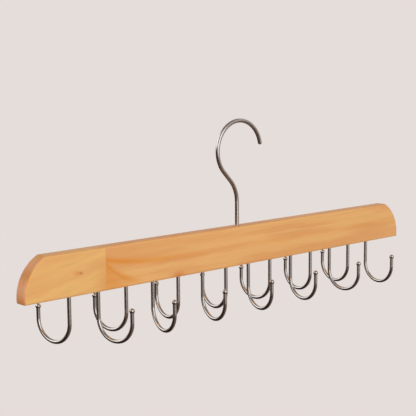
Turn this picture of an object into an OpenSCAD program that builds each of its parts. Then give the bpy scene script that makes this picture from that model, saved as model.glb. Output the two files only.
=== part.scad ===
// Tie hanger: a wooden bar with fourteen wire hooks below it, hung from one swivel hook.
// Millimetres. X runs along the bar, Y from front to back and Z up.
// The origin is the rail seat: the crest of the swivel hook's inner side, where a rail carries it.

/* [Bar] */
// Length of the whole bar
bar_l = 452; // [375:1:560]
// Height of the bar
bar_h = 35.5; // [29:0.5:45]
// Thickness of the bar from front to back
bar_t = 12.6; // [10.5:0.1:18]
// Height of the upright foot below each end's arc
end_foot_h = 3.7; // [2.5:0.1:8]
// How far the end arc's crown would stand above the top edge, which leaves the soft corner there
end_crown_h = 3.7; // [1:0.1:8]
// Rounding of the long edges and of the rims at both ends
edge_r = 2; // [1:0.1:3]
// Chamfer at the two bottom corners
corner_c = 1.2; // [0.5:0.1:2]

/* [Finger joint] */
// Length of the short end block, from the bar's end to the joint line on its faces
end_block_l = 75.5; // [60:0.5:120]
// Number of glued fingers across the thickness
finger_n = 3; // [2:1:5]
// Length of the fingers
finger_l = 9; // [5:0.5:12]
// Width of a finger's blunt tip
finger_tip_w = 0.6; // [0.3:0.1:1]

/* [Tie hooks] */
// Distance between neighbouring hooks
hook_pitch = 28; // [24:0.5:34]
// Diameter of the hooks' wire
hook_wire_d = 3.2; // [2.4:0.1:4]
// Straight wire between the bar and the bend
hook_drop = 22.3; // [15:0.1:35]
// Radius of the bend, to the middle of the wire
hook_bend_r = 17; // [12:0.5:22]
// Straight wire after the bend, up to the middle of the ball
hook_rise = 9.8; // [5:0.1:16]
// Diameter of the ball on the tip
hook_ball_d = 4.5; // [3.4:0.1:6]
// Length of the shank in the bar
hook_shank_l = 14; // [8:0.5:18]
// Length of the point on the shank
hook_point_l = 1.6; // [0.8:0.1:2.4]
// Radial clearance of a shank in its hole
hook_fit = 0.05; // [0.02:0.01:0.1]

/* [Swivel hook] */
// Diameter of the swivel hook's wire
neck_wire_d = 3.7; // [3:0.1:4.4]
// Straight wire above the bar
neck_straight_l = 21.4; // [12:0.1:40]
// Radius of the neck's lower bend, to the middle of the wire
neck_bend_r = 28; // [15:1:34]
// Lean of the neck away from the upright
neck_angle = 44; // [36:1:52]
// Radius of the ring, to the middle of the wire
ring_r = 26.3; // [21:0.1:32]
// Distance from the stem's axis to the middle of the ring
ring_offset = 3.3; // [0:0.1:5]
// Where the open tip stops, above the level of the ring's middle
ring_tip_angle = 12; // [0:1:40]

/* [Swivel] */
// Radial running clearance of the stem in the bar
stem_fit = 0.05; // [0.02:0.01:0.1]
// Diameter of the riveted head under the bar
head_d = 6; // [5:0.1:7]
// Height of the riveted head
head_h = 2.2; // [1.6:0.1:3]
// Radius of the head's dome
head_dome_r = 3.7; // [3.6:0.1:6]
// Outer diameter of the washer
washer_d = 7.6; // [6:0.1:8]
// Thickness of the washer
washer_t = 0.8; // [0.5:0.1:1.2]
// Radial clearance of the washer round the stem
washer_play = 0.2; // [0.1:0.05:0.3]
// Radial clearance of the washer in its recess
recess_play = 0.2; // [0.1:0.05:0.4]
// End play between the riveted head and the washer
swivel_play = 0.1; // [0.05:0.05:0.3]
// How far the head stays back inside the recess
recess_cover = 0.9; // [0.3:0.1:3]

/* [Hidden] */
$fn = 72;
wood_colour = [0.87, 0.68, 0.43];
end_wood_colour = [0.89, 0.72, 0.47];
steel_colour = [0.74, 0.74, 0.76];
// How far each hook is turned from square as it was screwed in by hand, in degrees
hook_turn = [12, 14, 13, -8, -6, -8, -4, -7, 7, -4, -2, 6, -1, -2];
hook_n = len(hook_turn);
// Spare length of a cutting shape past the face that it cuts
over = 1;
// How far a straight stretch of the swivel hook runs into a bend, inside its slightly fuller wire
join_l = 0.5;
join_step = 0.01;
bent_d = neck_wire_d + 2 * join_step;

// The ring and the neck, from the crest down to the top of the bar
stem_x = -ring_offset;
ring_z = -(ring_r - bent_d / 2);
neck_reach = ring_r - ring_offset - (neck_bend_r + ring_r) * (1 - cos(neck_angle));
neck_slope_l = neck_reach / sin(neck_angle);
ring_start_z = ring_z - ring_r * sin(neck_angle);
slope_start_z = ring_start_z - neck_slope_l * cos(neck_angle);
neck_bend_z = slope_start_z - neck_bend_r * sin(neck_angle);
bar_top_z = neck_bend_z - neck_straight_l;
bar_bottom_z = bar_top_z - bar_h;

// The outline of the bar
end_arc_r = bar_h - end_foot_h + end_crown_h;
end_centre_x = bar_l / 2 - end_arc_r;
finger_pitch = bar_t / finger_n;

// The recess under the bar
recess_d = washer_d + 2 * recess_play;
recess_depth = washer_t + swivel_play + head_h + recess_cover;
washer_z = bar_bottom_z + recess_depth - washer_t;
head_z = washer_z - swivel_play - head_h;

// Place of a hook's stem along the bar, counted from 0 at the left
function hook_x(i) = stem_x + (i - (hook_n - 1) / 2) * hook_pitch;

// A bent stretch of wire in the XZ plane, from angle a0 through angle sweep about its centre
module wire_bend(r, d, a0, sweep) {
    rotate([90, 0, 0])
        rotate([0, 0, a0])
            rotate_extrude(angle = sweep)
                translate([r, 0])
                    circle(d = d);
}

// A straight stretch of wire along Z, which runs a little way into a bend at either end
module wire_straight(d, z0, z1) {
    translate([0, 0, z0]) cylinder(d = d, h = z1 - z0);
}

// A half ball that closes the end of a wire, with a short root that runs back into the wire
module wire_dome(d) {
    rotate_extrude()
        intersection() {
            union() {
                circle(d = d);
                translate([0, -join_l]) square([d / 2, join_l]);
            }
            translate([0, -join_l]) square([d, d + join_l]);
        }
}

// A rectangle from x0 to x1 whose corners at x1, and at x0 too where both is true, are round
module round_bar_2d(x0, x1, h, r, both) {
    inset = both ? r : 0;
    translate([x0 + inset, -h / 2]) square([x1 - x0 - r - inset, h]);
    translate([x0, r - h / 2]) square([x1 - x0, h - 2 * r]);
    for (y = [r - h / 2, h / 2 - r]) {
        translate([x1 - r, y]) circle(r = r);
        if (both) translate([x0 + r, y]) circle(r = r);
    }
}

// The long part of the bar's outline, before its edges are rounded
module bar_middle() {
    translate([-end_centre_x, -bar_t / 2, 0])
        cube([2 * end_centre_x, bar_t, bar_h]);
}

// A disc on edge with a rounded rim, whose upper outer quarter is the bar's end
module bar_end_disc() {
    translate([end_centre_x, 0, end_foot_h])
        rotate([90, 0, 0])
            rotate_extrude()
                round_bar_2d(0, end_arc_r, bar_t, edge_r, false);
}

// The wedge that chamfers a bottom corner
module corner_cut() {
    translate([bar_l / 2, 0, 0])
        rotate([0, 45, 0])
            cube([corner_c * sqrt(2), bar_t + 2 * over, 8 * corner_c], center = true);
}

// The whole bar in one length, with its bottom at Z 0 and its middle at X 0
module bar_blank() {
    difference() {
        intersection() {
            translate([-bar_l / 2 - over, 0, 0])
                rotate([90, 0, 90])
                    linear_extrude(bar_l + 2 * over)
                        rotate([0, 0, 90])
                            round_bar_2d(0, bar_h, bar_t, edge_r, true);
            union() {
                bar_middle();
                bar_end_disc();
                mirror([1, 0, 0]) bar_end_disc();
            }
        }
        corner_cut();
        mirror([1, 0, 0]) corner_cut();
    }
}

// The end block's side of the glue line: a row of tapered fingers across the thickness
module joint_side() {
    line_x = end_block_l - bar_l / 2;
    back_x = -bar_l / 2 - over;
    fingers = [
        for (i = [0 : finger_n - 1])
            let (y = i * finger_pitch - bar_t / 2)
                each [
                    [line_x, y + finger_tip_w / 2],
                    [line_x + finger_l, y + finger_pitch / 2 - finger_tip_w / 2],
                    [line_x + finger_l, y + finger_pitch / 2 + finger_tip_w / 2],
                    [line_x, y + finger_pitch - finger_tip_w / 2]
                ]
    ];
    translate([0, 0, -over])
        linear_extrude(bar_h + 2 * over)
            polygon(concat(
                [[back_x, -bar_t / 2 - over], [line_x, -bar_t / 2 - over]],
                fingers,
                [[line_x, bar_t / 2 + over], [back_x, bar_t / 2 + over]]
            ));
}

// Every hole that is drilled in the glued bar
module drilling() {
    for (i = [0 : hook_n - 1])
        translate([hook_x(i), 0, bar_bottom_z - over])
            cylinder(d = hook_wire_d + 2 * hook_fit, h = hook_shank_l + hook_point_l / 4 + over);
    translate([stem_x, 0, bar_bottom_z - over]) {
        cylinder(d = neck_wire_d + 2 * stem_fit, h = bar_h + 2 * over);
        cylinder(d = recess_d, h = recess_depth + over);
    }
}

// The long block of the bar
module bar() {
    color(wood_colour)
        difference() {
            translate([stem_x, 0, bar_bottom_z])
                difference() {
                    bar_blank();
                    joint_side();
                }
            drilling();
        }
}

// The short block glued to the bar's left end
module end_block() {
    color(end_wood_colour)
        difference() {
            translate([stem_x, 0, bar_bottom_z])
                intersection() {
                    bar_blank();
                    joint_side();
                }
            drilling();
        }
}

// The domed head that is riveted on the stem's lower end
module riveted_head() {
    intersection() {
        cylinder(d = head_d, h = head_h);
        translate([0, 0, head_dome_r]) sphere(r = head_dome_r);
    }
}

// One length of wire: head, stem, neck and the open ring that hangs on the rail
module swivel_hook() {
    tip_x = ring_r * cos(ring_tip_angle);
    tip_z = ring_z + ring_r * sin(ring_tip_angle);
    bend_x = stem_x - neck_bend_r;
    color(steel_colour)
        union() {
            translate([stem_x, 0, head_z]) riveted_head();
            translate([stem_x, 0, 0])
                wire_straight(neck_wire_d, head_z + head_h / 2, neck_bend_z + join_l);
            translate([bend_x, 0, neck_bend_z])
                wire_bend(neck_bend_r, bent_d, 0, neck_angle);
            translate([bend_x + neck_bend_r * cos(neck_angle), 0, slope_start_z])
                rotate([0, -neck_angle, 0])
                    wire_straight(neck_wire_d, -join_l, neck_slope_l + join_l);
            translate([0, 0, ring_z])
                wire_bend(ring_r, bent_d, ring_tip_angle, 180 + neck_angle - ring_tip_angle);
            translate([tip_x, 0, tip_z])
                rotate([0, 180 - ring_tip_angle, 0])
                    wire_dome(neck_wire_d);
        }
}

// The washer that spreads the load over the wood at the top of the recess
module swivel_washer() {
    color(steel_colour)
        translate([stem_x, 0, washer_z])
            difference() {
                cylinder(d = washer_d, h = washer_t);
                translate([0, 0, -over])
                    cylinder(d = neck_wire_d + 2 * washer_play, h = washer_t + 2 * over);
            }
}

// One wire hook, with the odd ones opening to the back and the even ones to the front
module tie_hook(i) {
    side = i % 2 == 0 ? 90 : -90;
    color(steel_colour)
        translate([hook_x(i), 0, bar_bottom_z])
            rotate([0, 0, side + hook_turn[i]])
                union() {
                    translate([0, 0, hook_shank_l - hook_point_l])
                        cylinder(d1 = hook_wire_d, d2 = hook_wire_d / 3, h = hook_point_l);
                    translate([0, 0, -hook_drop])
                        cylinder(d = hook_wire_d, h = hook_drop + hook_shank_l - hook_point_l);
                    translate([hook_bend_r, 0, -hook_drop])
                        wire_bend(hook_bend_r, hook_wire_d, 180, 180);
                    translate([2 * hook_bend_r, 0, -hook_drop]) {
                        cylinder(d = hook_wire_d, h = hook_rise);
                        translate([0, 0, hook_rise]) sphere(d = hook_ball_d);
                    }
                }
}

bar();
end_block();
swivel_hook();
swivel_washer();
tie_hook(0);  // tie_hook_01
tie_hook(1);  // tie_hook_02
tie_hook(2);  // tie_hook_03
tie_hook(3);  // tie_hook_04
tie_hook(4);  // tie_hook_05
tie_hook(5);  // tie_hook_06
tie_hook(6);  // tie_hook_07
tie_hook(7);  // tie_hook_08
tie_hook(8);  // tie_hook_09
tie_hook(9);  // tie_hook_10
tie_hook(10);  // tie_hook_11
tie_hook(11);  // tie_hook_12
tie_hook(12);  // tie_hook_13
tie_hook(13);  // tie_hook_14
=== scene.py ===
import math

import bpy
from mathutils import Matrix, Vector


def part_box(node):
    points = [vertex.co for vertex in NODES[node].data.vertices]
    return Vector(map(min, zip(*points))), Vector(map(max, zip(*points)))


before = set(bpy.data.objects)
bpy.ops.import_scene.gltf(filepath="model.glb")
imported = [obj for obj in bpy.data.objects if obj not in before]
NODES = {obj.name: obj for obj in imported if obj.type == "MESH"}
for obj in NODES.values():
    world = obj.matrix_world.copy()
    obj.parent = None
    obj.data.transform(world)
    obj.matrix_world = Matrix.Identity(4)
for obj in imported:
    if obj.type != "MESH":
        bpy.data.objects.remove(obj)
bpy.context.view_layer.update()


def srgb(r, g, b):
    """A colour written as it should look on screen, 0 to 255, in linear light."""
    def linear(v):
        v = v / 255
        return v / 12.92 if v <= 0.04045 else ((v + 0.055) / 1.055) ** 2.4
    return (linear(r), linear(g), linear(b), 1.0)


MM = 0.001

# The camera, at the place from which the photograph was taken, with its angles in degrees
LENS_MM = 86.95
SENSOR_MM = 36.0
CAMERA_CLIP = (0.01, 50.0)
CAMERA_AT = Vector((-619.9, -639.5, 46.85)) * MM
CAMERA_YAW = 42.29
CAMERA_PITCH = 7.86
CAMERA_ROLL = -0.45

# The set, in metres
PALE = srgb(229, 221, 218)
FLOOR_Z = -0.9
FLOOR_RADIUS = 4.0
FLOOR_SIDES = 96
FLOOR_FADE = (0.5, 1.6)
LAMP_AT = Vector((-0.42, -1.55, 0.6))
LAMP_AIM = Vector((0.0, 0.0, -0.11))
LAMP_SIZE = 0.8
LAMP_POWER = 9.0
LAMP_TINT = (1.0, 0.985, 0.96)

# The room that gloss sees. Each pair says where a soft edge starts and ends, as a share of
# the whole direction: 0 is square to the named way and 1 is straight along it.
ROOM_LEFT = srgb(74, 60, 53)
ROOM_RIGHT = srgb(182, 175, 169)
ROOM_CEILING = srgb(132, 122, 115)
ROOM_FLOOR_LEFT = srgb(46, 36, 32)
ROOM_FLOOR_RIGHT = srgb(108, 92, 82)
ROOM_SIDE = (-0.05, 0.15)
ROOM_BACK = (0.72, 0.95)
ROOM_LOW = (-0.42, -0.02)
ROOM_HIGH = (0.6, 0.85)
# A window, brighter than white, stands WINDOW_YAW degrees to the right of the camera, and
# another far to the left. The first keeps its width up to steep directions, whose level
# share is at least LEAST_LEVEL.
WINDOW = (1.42, 1.4, 1.36, 1.0)
WINDOW_YAW = 29.0
WINDOW_EDGE = (0.88, 0.95)
WINDOW_SILL = (-0.22, -0.12)
SIDE_WINDOW_EDGE = (0.45, 0.75)
SIDE_WINDOW_SILL = (0.0, 0.25)
LEAST_LEVEL = 0.1

# Places that the wood's figure follows: the bar's underside, and its end at the glued joint
BAR_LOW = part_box("bar")[0]
BAR_BOTTOM_MM = BAR_LOW.z / MM
JOINT_X_MM = BAR_LOW.x / MM

# The grain of each block. A stretch is how fast the pattern changes along the grain, from
# front to back and upwards, per millimetre.
LONG_GRAIN = {
    "wander": (0.016, 0.06, 0.06), "wander_mm": 5.0, "lean": 0.25,
    "broad": (0.01, 0.12, 0.13), "pale": srgb(228, 177, 111), "deep": srgb(220, 161, 99),
    "streaks": (0.008, 0.5, 0.5), "streak": srgb(205, 142, 78), "streak_strength": 0.4,
    "fibres": (0.06, 2.6, 2.6), "fibre": srgb(196, 135, 74),
}
SHORT_GRAIN = {
    "wander": (0.04, 0.06, 0.08), "wander_mm": 8.0, "lean": 0.3,
    "broad": (0.02, 0.12, 0.14), "pale": srgb(228, 181, 111), "deep": srgb(223, 170, 105),
    "streaks": (0.018, 0.4, 0.45), "streak": srgb(207, 155, 87), "streak_strength": 0.35,
    "fibres": (0.08, 2.6, 2.6), "fibre": srgb(200, 144, 80),
}
BROAD_EDGE = (0.35, 0.65)
STREAK_EDGE = (0.5, 0.75)
FIBRE_EDGE = (0.5, 0.85)
FIBRE_STRENGTH = 0.25

# The long block's figure, in millimetres ahead of the joint and above the underside. A fade
# is where it starts, where it ends, and the strength at each. The curl fills in below the
# lower band.
FIGURE = srgb(217, 139, 50)
UPPER_BAND = {"length": 28.0, "height": 8.0, "foot": 16.0}
UPPER_WIDTH = 2.4
UPPER_FADE = (0.0, 130.0, 0.9, 0.22)
LOWER_BAND = {"length": 19.0, "height": 23.0, "foot": -2.0}
LOWER_WIDTH = 3.0
LOWER_FADE = (15.0, 45.0, 0.85, 0.0)
CURL_EDGE = (-3.0, 3.0)
CURL_FADE = (5.0, 40.0, 0.6, 0.0)

# A stain at the underside, in the same millimetres, which fades out behind the front face
STAIN = srgb(200, 112, 50)
STAIN_AHEAD = 76.0
STAIN_LENGTH = 7.0
STAIN_HEIGHT = 2.6
STAIN_FADE = (2.0, -3.0, 0.0, 0.7)

# The end block: its grain's slant in degrees, a deeper tone low beside the joint, and a fleck
# on the front face, again in millimetres ahead of the joint and above the underside
SLANT = 10.0
NEAR_JOINT = srgb(214, 154, 86)
NEAR_JOINT_FADE = (-16.0, 4.0, 0.0, 0.8)
NEAR_JOINT_HEIGHT = (30.0, 8.0)
FLECK_AHEAD = -25.0
FLECK_UP = 18.0
FLECK_SLOPE = 0.12
FLECK_FRONT = (-2.0, -4.0)
# The fleck's halo and core: the shift along it, length, height, strength and colour
FLECK_PARTS = (
    (-2.0, 3.4, 1.7, 0.7, srgb(214, 138, 72)),
    (1.2, 1.3, 1.0, 0.75, srgb(168, 112, 56)),
)

# The end grain, shown where the surface faces along the bar, with bands and a red line that are
# partly end-grain colour and partly painted reflection and shade. Each band has its height above
# the underside and its width, and so does the red line.
END_EDGE = (0.25, 0.8)
END_RINGS = (0.02, 0.9, 0.13)
END_RING_EDGE = (0.45, 0.65, 0.0, 0.6)
END_WANDER_MM = 6.0
END_PALE = srgb(226, 168, 122)
END_DEEP = srgb(210, 148, 98)
END_GRAIN_AND_REFLECTION_BAND = srgb(200, 131, 64)
END_GRAIN_AND_REFLECTION_BANDS = ((22.0, 6.0), (0.0, 5.5))
END_GRAIN_AND_REFLECTION_LINE = srgb(226, 142, 96)
END_LINE_UP = 15.5
END_LINE_WIDTH = 1.0
END_LINE_STRENGTH = 0.6

# Painted shade that darkens the colour where the surface faces up, and the lacquer with open
# pores
TOP_SHADE_EDGE = (0.5, 0.95)
TOP_SHADE_TINT = srgb(238, 226, 214)
PORES = (0.25, 5.0, 5.0)
PORE_SHARE = 0.6
PORE_DEPTH = 0.12 * MM
PORE_STRENGTH = 0.3
PORE_ROUGHNESS = (0.3, 0.7, 0.55, 0.42)

# The steels: the colour, then the roughness where the polish is best and where it is worst
SWIVEL_STEEL = (srgb(226, 222, 219), 0.16, 0.24)
WASHER_STEEL = (srgb(196, 195, 196), 0.25, 0.4)
HOOK_STEEL = (srgb(224, 220, 216), 0.16, 0.24)
SMEARED_STEEL = srgb(214, 209, 205)
SMEARS = (0.12, 0.12, 0.12)
SMEAR_TONE_EDGE = (0.35, 0.7)
SMEAR_POLISH_EDGE = (0.3, 0.7)
DRAW_MARKS = (4.0, 4.0, 0.4)
DRAW_MARK_DEPTH = 0.02 * MM
DRAW_MARK_STRENGTH = 0.1

# The sockets of the Mix node for its factor, its two colours and its result
MIX_FACTOR = 0
MIX_COLOUR_A = 6
MIX_COLOUR_B = 7
MIX_RESULT = 2


class Graph:
    """A small writer of node trees: each call adds nodes and returns what comes out of them."""

    def __init__(self, tree):
        self.tree = tree
        tree.nodes.clear()

    def add(self, kind, **settings):
        made = self.tree.nodes.new(kind)
        for key, value in settings.items():
            setattr(made, key, value)
        return made

    def put(self, socket, value):
        if isinstance(value, bpy.types.NodeSocket):
            self.tree.links.new(value, socket)
        else:
            socket.default_value = value

    def fill(self, node, values):
        """Puts the values into the node's first sockets, in their order."""
        for socket, value in zip(node.inputs, values):
            self.put(socket, value)
        return node.outputs[0]

    def finish(self, kind, shader):
        """Links the shader to a new output node of that kind."""
        self.tree.links.new(shader.outputs[0], self.add(kind).inputs[0])

    def math(self, operation, *values):
        return self.fill(self.add("ShaderNodeMath", operation=operation), values)

    def plus(self, a, b):
        return self.math("ADD", a, b)

    def minus(self, a, b):
        return self.math("SUBTRACT", a, b)

    def times(self, a, b):
        return self.math("MULTIPLY", a, b)

    def step(self, value, low, high, to_low=0.0, to_high=1.0):
        """A smooth step from to_low at low to to_high at high."""
        made = self.add("ShaderNodeMapRange", interpolation_type="SMOOTHSTEP")
        return self.fill(made, (value, low, high, to_low, to_high))

    def ridge(self, value, width):
        """A soft ridge: 1 where value is 0, falling away over width."""
        ratio = self.math("DIVIDE", value, width)
        return self.math("EXPONENT", self.times(self.times(ratio, ratio), -1.0))

    def decay(self, run, length, height, foot):
        """A curve that starts at height above foot and eases down to foot over length."""
        share = self.math("EXPONENT", self.math("DIVIDE", run, -length))
        return self.math("MULTIPLY_ADD", share, height, foot)

    def heading(self, x, y, degrees):
        """How far (x, y) reaches along a heading, given in degrees from y towards x."""
        angle = math.radians(degrees)
        return self.plus(self.times(x, math.sin(angle)), self.times(y, math.cos(angle)))

    def blend(self, factor, a, b, mode="MIX"):
        made = self.add("ShaderNodeMix", data_type="RGBA", blend_type=mode)
        self.put(made.inputs[MIX_FACTOR], factor)
        self.put(made.inputs[MIX_COLOUR_A], a)
        self.put(made.inputs[MIX_COLOUR_B], b)
        return made.outputs[MIX_RESULT]

    def noise(self, place, stretch, detail, rough):
        """Noise with its own scale along each of the three coordinates in place."""
        made = self.add("ShaderNodeTexNoise")
        scaled = [self.times(value, factor) for value, factor in zip(place, stretch)]
        self.put(made.inputs["Vector"], self.fill(self.add("ShaderNodeCombineXYZ"), scaled))
        made.inputs["Scale"].default_value = 1.0
        made.inputs["Detail"].default_value = detail
        made.inputs["Roughness"].default_value = rough
        return made.outputs["Fac"]

    def split(self, coordinates, scale=1.0):
        """One of the texture coordinates, scaled, as three outputs."""
        scaled = self.add("ShaderNodeVectorMath", operation="SCALE")
        self.put(scaled.inputs[0], self.add("ShaderNodeTexCoord").outputs[coordinates])
        scaled.inputs["Scale"].default_value = scale
        parts = self.add("ShaderNodeSeparateXYZ")
        self.put(parts.inputs[0], scaled.outputs[0])
        return tuple(parts.outputs)

    def place_mm(self):
        """The object's own coordinates in millimetres."""
        return self.split("Object", 1 / MM)

    def bump(self, height, distance, strength):
        made = self.add("ShaderNodeBump")
        self.put(made.inputs["Height"], height)
        made.inputs["Distance"].default_value = distance
        made.inputs["Strength"].default_value = strength
        return made.outputs[0]

    def surface(self, **sockets):
        shader = self.add("ShaderNodeBsdfPrincipled")
        for name, value in sockets.items():
            self.put(shader.inputs[name.replace("_", " ")], value)
        self.finish("ShaderNodeOutputMaterial", shader)


def new_material(name):
    made = bpy.data.materials.new(name)
    made.use_nodes = True
    return made, Graph(made.node_tree)


def grain(g, along, y, up, look):
    """Wood before its figure: the colour, the height bent by the grain, and the fibres."""
    wander = g.noise((along, y, up), look["wander"], detail=3.0, rough=0.5)
    up = g.plus(up, g.times(g.minus(wander, 0.5), look["wander_mm"]))
    up = g.plus(up, g.times(y, look["lean"]))
    place = (along, y, up)
    broad = g.noise(place, look["broad"], detail=2.0, rough=0.5)
    streaks = g.noise(place, look["streaks"], detail=4.0, rough=0.6)
    fibres = g.noise(place, look["fibres"], detail=3.0, rough=0.6)
    streak_share = g.step(streaks, *STREAK_EDGE, 0.0, look["streak_strength"])
    fibre_share = g.step(fibres, *FIBRE_EDGE, 0.0, FIBRE_STRENGTH)
    colour = g.blend(g.step(broad, *BROAD_EDGE), look["pale"], look["deep"])
    colour = g.blend(streak_share, colour, look["streak"])
    colour = g.blend(fibre_share, colour, look["fibre"])
    return colour, up, fibres


def end_grain_and_reflection(g, x, y, z):
    """The sawn end: faint rings, then two brown bands and a thin red line that are partly
    end-grain colour and partly painted reflection and shade.
    """
    rings = g.noise((x, y, z), END_RINGS, detail=3.0, rough=0.6)
    up = g.plus(g.minus(z, BAR_BOTTOM_MM), g.times(g.minus(rings, 0.5), END_WANDER_MM))
    colour = g.blend(g.step(rings, *END_RING_EDGE), END_PALE, END_DEEP)
    # The bands and the red line: partly end-grain colour, partly painted reflection and shade in
    # the lacquer
    grain_and_reflection_bands = [g.ridge(g.minus(up, height), width) for height, width in END_GRAIN_AND_REFLECTION_BANDS]
    colour = g.blend(g.math("MAXIMUM", *grain_and_reflection_bands), colour, END_GRAIN_AND_REFLECTION_BAND)
    grain_and_reflection_line = g.ridge(g.minus(up, END_LINE_UP), END_LINE_WIDTH)
    return g.blend(g.times(grain_and_reflection_line, END_LINE_STRENGTH), colour, END_GRAIN_AND_REFLECTION_LINE)


def finish_wood(g, colour, place, fibres):
    """Adds the end grain with its painted reflection and shade, painted shade where the surface
    faces up, and the lacquer, whose pores are open.
    """
    normal_x, _, normal_z = g.split("Normal")
    end_share = g.step(g.math("ABSOLUTE", normal_x), *END_EDGE)
    # The end face's colour, whose bands are partly painted reflection and shade
    colour = g.blend(end_share, colour, end_grain_and_reflection(g, *place))
    # Painted shade: the colour is darkened where the surface faces up
    top_shaded = g.blend(1.0, colour, TOP_SHADE_TINT, "MULTIPLY")
    colour = g.blend(g.step(normal_z, *TOP_SHADE_EDGE), colour, top_shaded)
    pores = g.noise(place, PORES, detail=2.0, rough=0.6)
    height = g.plus(g.times(pores, PORE_SHARE), fibres)
    g.surface(Base_Color=colour, Roughness=g.step(pores, *PORE_ROUGHNESS),
              Normal=g.bump(height, PORE_DEPTH, PORE_STRENGTH),
              Coat_Weight=0.12, Coat_Roughness=0.15, Specular_IOR_Level=0.3)


def long_wood():
    """The long block: straight grain, with one band that curls down beside the joint."""
    made, g = new_material("beech_long")
    x, y, z = g.place_mm()
    ahead = g.minus(x, JOINT_X_MM)
    colour, up, fibres = grain(g, x, y, g.minus(z, BAR_BOTTOM_MM), LONG_GRAIN)
    upper = g.decay(ahead, **UPPER_BAND)
    lower = g.decay(ahead, **LOWER_BAND)
    upper_band = g.times(g.ridge(g.minus(up, upper), UPPER_WIDTH), g.step(ahead, *UPPER_FADE))
    lower_band = g.times(g.ridge(g.minus(up, lower), LOWER_WIDTH), g.step(ahead, *LOWER_FADE))
    curl = g.times(g.step(g.minus(lower, up), *CURL_EDGE), g.step(ahead, *CURL_FADE))
    figure = g.math("MAXIMUM", g.math("MAXIMUM", upper_band, lower_band), curl)
    colour = g.blend(figure, colour, FIGURE)
    stain = g.times(g.ridge(g.minus(ahead, STAIN_AHEAD), STAIN_LENGTH), g.ridge(up, STAIN_HEIGHT))
    colour = g.blend(g.times(stain, g.step(y, *STAIN_FADE)), colour, STAIN)
    finish_wood(g, colour, (x, y, z), fibres)
    return made


def short_wood():
    """The end block: paler, with faint slanted grain and a small brown fleck."""
    made, g = new_material("beech_short")
    x, y, z = g.place_mm()
    ahead = g.minus(x, JOINT_X_MM)
    up = g.minus(z, BAR_BOTTOM_MM)
    along_grain = g.heading(x, up, 90.0 - SLANT)
    across_grain = g.heading(x, up, -SLANT)
    colour, _, fibres = grain(g, along_grain, y, across_grain, SHORT_GRAIN)
    near_joint = g.times(g.step(ahead, *NEAR_JOINT_FADE), g.step(up, *NEAR_JOINT_HEIGHT))
    colour = g.blend(near_joint, colour, NEAR_JOINT)
    along = g.minus(ahead, FLECK_AHEAD)
    rise = g.plus(g.minus(up, FLECK_UP), g.times(along, FLECK_SLOPE))
    front = g.step(y, *FLECK_FRONT)
    for shift, length, height, strength, tone in FLECK_PARTS:
        spot = g.times(g.ridge(g.minus(along, shift), length), g.ridge(rise, height))
        colour = g.blend(g.times(spot, g.times(front, strength)), colour, tone)
    finish_wood(g, colour, (x, y, z), fibres)
    return made


def steel(name, colour, rough_low, rough_high):
    """Polished plated wire, with faint draw marks and slightly uneven polish."""
    made, g = new_material(name)
    place = g.place_mm()
    smears = g.noise(place, SMEARS, detail=4.0, rough=0.6)
    marks = g.noise(place, DRAW_MARKS, detail=2.0, rough=0.5)
    g.surface(Base_Color=g.blend(g.step(smears, *SMEAR_TONE_EDGE), colour, SMEARED_STEEL),
              Metallic=1.0,
              Roughness=g.step(smears, *SMEAR_POLISH_EDGE, rough_low, rough_high),
              Normal=g.bump(marks, DRAW_MARK_DEPTH, DRAW_MARK_STRENGTH))
    return made


def paint(node, material):
    for slot in NODES[node].material_slots:
        slot.material = material


def paint_all():
    paint("bar", long_wood())
    paint("end_block", short_wood())
    paint("swivel_hook", steel("swivel_steel", *SWIVEL_STEEL))
    paint("swivel_washer", steel("washer_steel", *WASHER_STEEL))
    hook_steel = steel("hook_steel", *HOOK_STEEL)
    for name in NODES:
        if name.startswith("tie_hook"):
            paint(name, hook_steel)


def room_colour(g):
    """What gloss sees round the object, by direction.

    It is a pale backdrop behind the object, a grey wall to the right of the camera's view, a
    dark one to the left, a window beside the camera and another far to the left, a ceiling
    and a dim floor.
    """
    dx, dy, dz = g.split("Generated")
    ahead = g.heading(dx, dy, CAMERA_YAW)
    across = g.heading(dx, dy, CAMERA_YAW + 90.0)
    to_left = g.heading(dx, dy, CAMERA_YAW - 90.0)
    to_window = g.heading(dx, dy, CAMERA_YAW + 180.0 - WINDOW_YAW)
    level_square = g.math("MAXIMUM", g.minus(1.0, g.times(dz, dz)), LEAST_LEVEL ** 2)
    level = g.math("SQRT", level_square)
    facing = g.math("DIVIDE", to_window, level)
    window = g.times(g.step(facing, *WINDOW_EDGE), g.step(dz, *WINDOW_SILL))
    side_window = g.times(g.step(to_left, *SIDE_WINDOW_EDGE), g.step(dz, *SIDE_WINDOW_SILL))
    room = g.blend(g.step(across, *ROOM_SIDE), ROOM_LEFT, ROOM_RIGHT)
    room = g.blend(g.math("MAXIMUM", window, side_window), room, WINDOW)
    room = g.blend(g.step(ahead, *ROOM_BACK), room, PALE)
    floor = g.blend(g.step(across, *ROOM_SIDE), ROOM_FLOOR_LEFT, ROOM_FLOOR_RIGHT)
    room = g.blend(g.step(dz, *ROOM_LOW), floor, room)
    return g.blend(g.step(dz, *ROOM_HIGH), room, ROOM_CEILING)


def make_world():
    """Even pale light for the camera and for the wood, and the room for gloss."""
    world = bpy.data.worlds.new("studio")
    world.use_nodes = True
    g = Graph(world.node_tree)
    is_gloss = g.add("ShaderNodeLightPath").outputs["Is Glossy Ray"]
    back = g.add("ShaderNodeBackground")
    g.put(back.inputs["Color"], g.blend(is_gloss, PALE, room_colour(g)))
    back.inputs["Strength"].default_value = 1.0
    g.finish("ShaderNodeOutputWorld", back)
    bpy.context.scene.world = world


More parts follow.
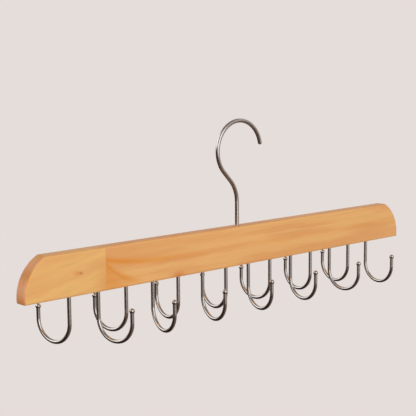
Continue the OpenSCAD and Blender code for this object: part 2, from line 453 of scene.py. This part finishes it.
def make_floor():
    """A pale round floor below the hanging object, which fades into the backdrop's colour."""
    bpy.ops.mesh.primitive_circle_add(vertices=FLOOR_SIDES, radius=FLOOR_RADIUS,
                                      fill_type="NGON", location=(0, 0, FLOOR_Z))
    floor = bpy.context.object
    floor.name = "floor"
    made, g = new_material("floor_pale")
    distance = g.add("ShaderNodeVectorMath", operation="LENGTH")
    g.put(distance.inputs[0], g.add("ShaderNodeTexCoord").outputs["Object"])
    diffuse = g.add("ShaderNodeBsdfDiffuse")
    diffuse.inputs["Color"].default_value = PALE
    glow = g.add("ShaderNodeEmission")
    glow.inputs["Color"].default_value = PALE
    mix = g.add("ShaderNodeMixShader")
    far = g.step(distance.outputs["Value"], *FLOOR_FADE)
    g.fill(mix, (far, diffuse.outputs[0], glow.outputs[0]))
    g.finish("ShaderNodeOutputMaterial", mix)
    floor.data.materials.append(made)
    floor.visible_glossy = False


def make_lamp():
    """One large soft lamp, above the camera and to its right, which gloss doesn't see."""
    data = bpy.data.lights.new("key", "AREA")
    data.shape = "DISK"
    data.size = LAMP_SIZE
    data.energy = LAMP_POWER
    data.color = LAMP_TINT
    lamp = bpy.data.objects.new("key", data)
    bpy.context.scene.collection.objects.link(lamp)
    lamp.location = LAMP_AT
    lamp.visible_glossy = False
    lamp.rotation_mode = "QUATERNION"
    lamp.rotation_quaternion = (LAMP_AIM - LAMP_AT).to_track_quat("-Z", "Y")


def make_camera():
    yaw, pitch, roll = (math.radians(a) for a in (CAMERA_YAW, CAMERA_PITCH, CAMERA_ROLL))
    level_ahead = Vector((math.sin(yaw), math.cos(yaw), 0.0))
    ahead = level_ahead * math.cos(pitch) - Vector((0.0, 0.0, math.sin(pitch)))
    right = Vector((math.cos(yaw), -math.sin(yaw), 0.0))
    up = right.cross(ahead)
    right, up = (right * math.cos(roll) + up * math.sin(roll),
                 up * math.cos(roll) - right * math.sin(roll))
    data = bpy.data.cameras.new("camera")
    data.lens = LENS_MM
    data.sensor_width = SENSOR_MM
    data.clip_start, data.clip_end = CAMERA_CLIP
    camera = bpy.data.objects.new("camera", data)
    bpy.context.scene.collection.objects.link(camera)
    camera.rotation_mode = "QUATERNION"
    camera.rotation_quaternion = Matrix((right, up, -ahead)).transposed().to_quaternion()
    camera.location = CAMERA_AT
    bpy.context.scene.camera = camera


make_camera()
make_world()
make_floor()
make_lamp()
paint_all()
bpy.context.scene.view_settings.view_transform = "Standard"
